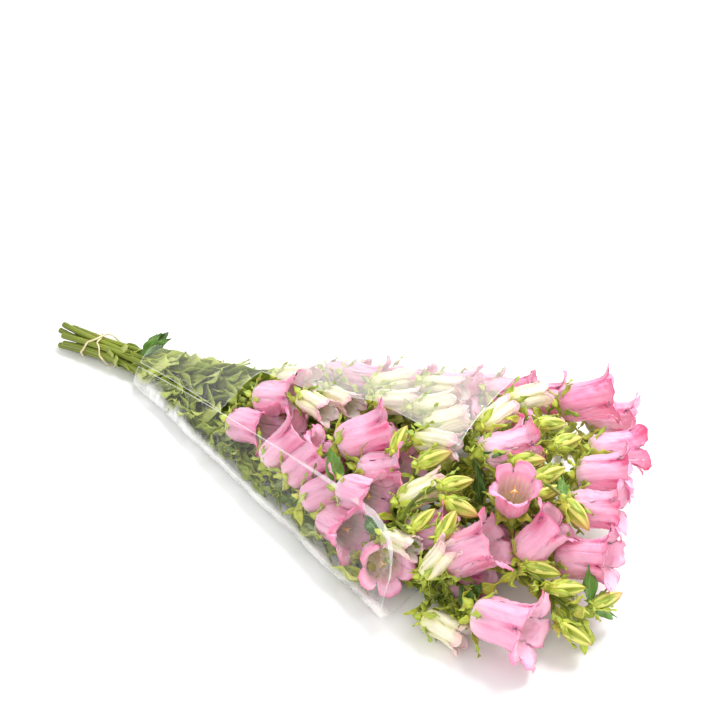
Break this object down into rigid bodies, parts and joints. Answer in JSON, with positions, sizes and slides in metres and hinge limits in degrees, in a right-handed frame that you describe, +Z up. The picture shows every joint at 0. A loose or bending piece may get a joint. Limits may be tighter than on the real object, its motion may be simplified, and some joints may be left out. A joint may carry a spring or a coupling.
{
  "type": "wrapped bunch of cut campanula stems",
  "caption": "Tied bunch of cut campanula stems with pink bells, cream half-open flowers and green buds, lying in a clear cone of film.",
  "frame": {"origin": "on the surface that the bunch lies on, under the middle of the film's flat underside", "axes": "+X along the bunch from the cut ends towards the flowers, +Y to the bunch's left, +Z up"},
  "size_m": [0.6314, 0.352, 0.1169],
  "materials": {
    "greenery": "matt, lightly hairy leaf and stem green, paler on the leaves' undersides",
    "open_petal": "soft satin petal, pink with deeper folds and lobe edges, paler at the base",
    "half_open_petal": "soft satin petal, greenish cream with blushed tips",
    "film": "thin clear glossy film, whiter at its folds and where it is doubled",
    "band": "matt pale tan elastic"
  },
  "bodies": {
    "root": {"stem_01": "greenery", "stem_02": "greenery", "stem_03": "greenery", "stem_04": "greenery", "stem_05": "greenery", "stem_06": "greenery", "stem_07": "greenery", "stem_08": "greenery", "stem_09": "greenery", "stem_10": "greenery", "bell_01": "open_petal", "bell_02": "open_petal", "bell_03": "open_petal", "bell_04": "open_petal", "bell_05": "open_petal", "bell_06": "open_petal", "bell_07": "open_petal", "bell_08": "open_petal", "bell_09": "open_petal", "bell_10": "open_petal", "bell_11": "open_petal", "bell_12": "open_petal", "bell_13": "open_petal", "bell_14": "open_petal", "bell_15": "open_petal", "bell_16": "open_petal", "bell_17": "open_petal", "bell_18": "open_petal", "bell_19": "open_petal", "bell_20": "open_petal", "bell_21": "open_petal", "bell_22": "open_petal", "bell_23": "open_petal", "bell_24": "open_petal", "bell_25": "open_petal", "bell_26": "open_petal", "bell_27": "open_petal", "bell_28": "open_petal", "bell_29": "open_petal", "bell_30": "open_petal", "bell_31": "open_petal", "half_open_01": "half_open_petal", "half_open_02": "half_open_petal", "half_open_03": "half_open_petal", "half_open_04": "half_open_petal", "half_open_05": "half_open_petal", "half_open_06": "half_open_petal", "half_open_07": "half_open_petal", "half_open_08": "half_open_petal", "half_open_09": "half_open_petal", "half_open_10": "half_open_petal", "half_open_11": "half_open_petal", "half_open_12": "half_open_petal", "half_open_13": "half_open_petal", "half_open_14": "half_open_petal", "half_open_15": "half_open_petal", "wrap": "film", "band": "band"}
  },
  "joints": []
}
